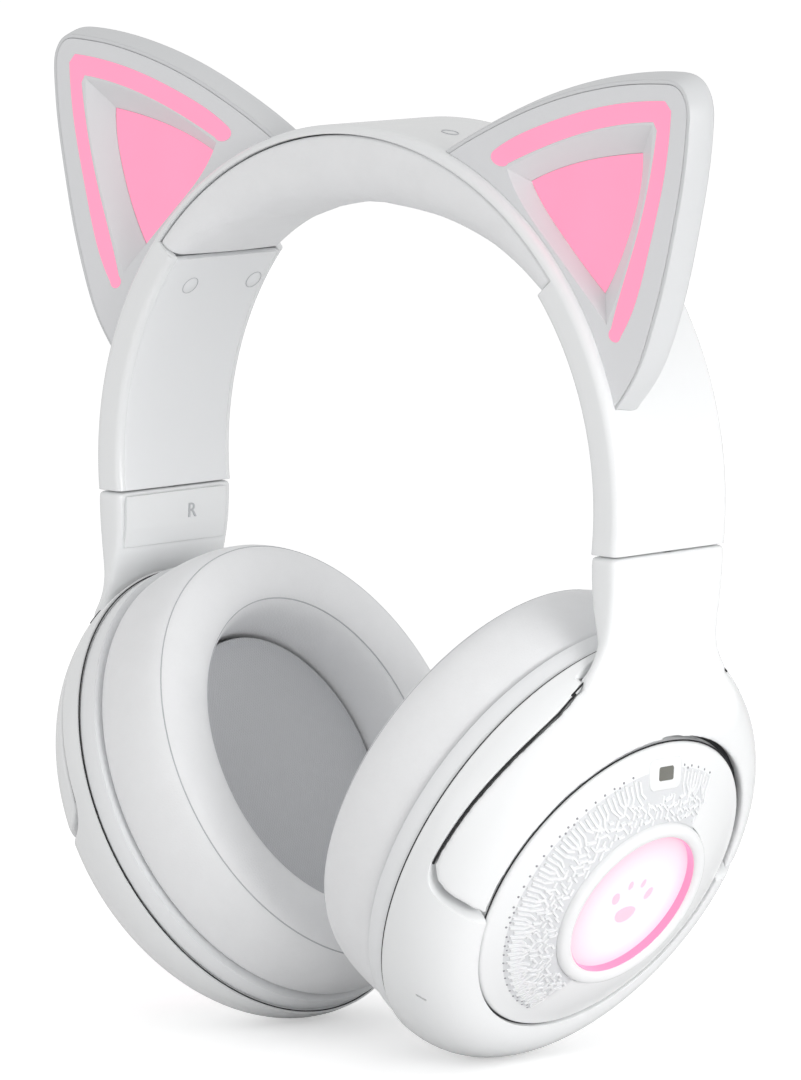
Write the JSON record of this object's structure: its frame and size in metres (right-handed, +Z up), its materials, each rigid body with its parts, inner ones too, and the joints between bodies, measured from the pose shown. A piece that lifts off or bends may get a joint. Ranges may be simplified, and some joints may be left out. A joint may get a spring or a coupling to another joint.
{
  "type": "gaming headset",
  "caption": "Wireless over-ear headset with lit cat ears, padded arch headband, sliding arms, swivelling and tilting oval ear cups and a lit window on each side.",
  "frame": {"origin": "on the ground plane, midway between the two ear cups and centred in depth on the bounding box", "axes": "+X towards the wearer's left ear, -Y towards the front, +Z up"},
  "size_m": [0.1888, 0.0952, 0.2142],
  "materials": {
    "board": "circuit board",
    "cell": "wrapped battery cell",
    "dark_plastic": "dark plastic",
    "grey_ear": "satin light grey plastic",
    "grey_inner": "inner moulding",
    "leatherette": "soft light grey leatherette",
    "pink_glow": "lit pink diffuser",
    "scrim": "grey speaker cloth",
    "steel": "spring steel",
    "white_gloss": "smooth glossy white plastic",
    "white_satin": "satin white plastic",
    "window_glow": "lit pale pink window"
  },
  "bodies": {
    "headband": {"headband_shell": "white_gloss", "headband_spring": "steel", "headband_pad_carrier": "grey_inner", "headband_pad": "leatherette", "arm_cover_left": "white_satin", "arm_cover_right": "white_satin", "arm_cover_screws": "steel", "arm_screw_plugs": "white_satin", "slider_guide_left": "grey_inner", "ear_shell_left": "white_gloss", "ear_frame_left": "grey_ear", "ear_light_band_left": "pink_glow", "ear_inner_panel_left": "pink_glow", "ear_light_board_left": "board", "slider_guide_right": "grey_inner", "ear_shell_right": "white_gloss", "ear_frame_right": "grey_ear", "ear_light_band_right": "pink_glow", "ear_inner_panel_right": "pink_glow", "ear_light_board_right": "board"},
    "slider_left": {"slider_rail_left": "steel", "swivel_pin_left": "steel"},
    "yoke_left": {"yoke_frame_left": "white_gloss", "yoke_cover_left": "white_gloss", "tilt_pins_left": "steel"},
    "cup_left": {"cup_housing_left": "white_gloss", "cup_ring_left": "white_satin", "cushion_clip_left": "grey_inner", "driver_left": "dark_plastic", "ear_cushion_left": "leatherette", "ear_scrim_left": "scrim", "side_cap_left": "white_gloss", "window_rim_left": "white_gloss", "window_left": "window_glow", "window_light_board_left": "board", "cup_screws_left": "steel", "indicator_window": "dark_plastic", "main_board": "board", "charging_socket": "steel", "microphone": "dark_plastic"},
    "slider_right": {"slider_rail_right": "steel", "swivel_pin_right": "steel"},
    "yoke_right": {"yoke_frame_right": "white_gloss", "yoke_cover_right": "white_gloss", "tilt_pins_right": "steel"},
    "cup_right": {"cup_housing_right": "white_gloss", "cup_ring_right": "white_satin", "cushion_clip_right": "grey_inner", "driver_right": "dark_plastic", "ear_cushion_right": "leatherette", "ear_scrim_right": "scrim", "side_cap_right": "white_gloss", "window_rim_right": "white_gloss", "window_right": "window_glow", "window_light_board_right": "board", "cup_screws_right": "steel", "battery": "cell"},
    "power_button": {"power_button": "white_satin"},
    "mode_button": {"mode_button": "white_satin"}
  },
  "joints": [
    {"name": "slide_left", "type": "slide", "parent": "headband", "child": "slider_left", "axis": [0.1132, 0, -0.9936], "range_m": [0, 0.025]},
    {"name": "swivel_left", "type": "hinge", "parent": "slider_left", "child": "yoke_left", "pos_m": [0.07285, 0, 0.11], "axis": [0, 0, -1], "range_deg": [-10, 90]},
    {"name": "tilt_left", "type": "hinge", "parent": "yoke_left", "child": "cup_left", "pos_m": [0.05581, 0, 0.04888], "axis": [0, -1, 0], "range_deg": [0, 10]},
    {"name": "slide_right", "type": "slide", "parent": "headband", "child": "slider_right", "axis": [-0.1132, 0, -0.9936], "range_m": [0, 0.025]},
    {"name": "swivel_right", "type": "hinge", "parent": "slider_right", "child": "yoke_right", "pos_m": [-0.07285, 0, 0.11], "axis": [0, 0, 1], "range_deg": [-10, 90]},
    {"name": "tilt_right", "type": "hinge", "parent": "yoke_right", "child": "cup_right", "pos_m": [-0.05581, 0, 0.04888], "axis": [0, 1, 0], "range_deg": [0, 10]},
    {"name": "power_button_press", "type": "slide", "parent": "cup_left", "child": "power_button", "axis": [0, -1, 0], "range_m": [0, 0.0005]},
    {"name": "mode_button_press", "type": "slide", "parent": "cup_left", "child": "mode_button", "axis": [0, -1, 0], "range_m": [0, 0.0005]}
  ]
}
